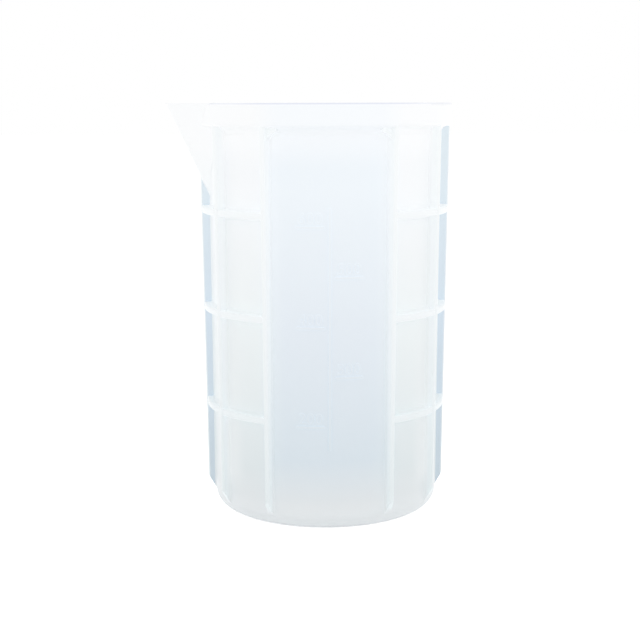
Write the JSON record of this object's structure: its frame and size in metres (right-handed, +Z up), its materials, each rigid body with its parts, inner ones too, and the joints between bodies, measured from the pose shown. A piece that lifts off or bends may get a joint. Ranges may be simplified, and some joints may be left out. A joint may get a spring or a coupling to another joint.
{
  "type": "resin mixing cup",
  "caption": "Tall translucent silicone cup for mixing resin, with a pouring spout, thick rim, stiffening ribs and hoops, and a graduated front panel.",
  "frame": {"origin": "centre of the flat base, on the cup's axis", "axes": "+Z up along the cup's axis, the graduated front panel faces -Y, the pouring spout points along -X"},
  "size_m": [0.1093, 0.097, 0.156],
  "materials": {
    "silicone": "soft satin, milky translucent",
    "silicone_thick": "soft satin, milky translucent, whiter where it is thick",
    "silicone_rib": "soft satin, milky translucent",
    "silicone_mark": "soft satin, raised graduation"
  },
  "bodies": {
    "root": {"cup_base": "silicone", "cup_wall": "silicone", "rim_band": "silicone_thick", "pouring_spout": "silicone_thick", "rib_front_right": "silicone_rib", "rib_fore_right": "silicone_rib", "rib_side_right": "silicone_rib", "rib_aft_right": "silicone_rib", "rib_back_right": "silicone_rib", "rib_front_left": "silicone_rib", "rib_fore_left": "silicone_rib", "rib_under_spout": "silicone_rib", "rib_aft_left": "silicone_rib", "rib_back_left": "silicone_rib", "hoop_lower_right": "silicone_rib", "hoop_middle_right": "silicone_rib", "hoop_upper_right": "silicone_rib", "hoop_lower_left": "silicone_rib", "hoop_middle_left": "silicone_rib", "hoop_upper_left": "silicone_rib", "scale_line": "silicone_mark", "scale_marks_left": "silicone_mark", "scale_marks_right": "silicone_mark"}
  },
  "joints": []
}
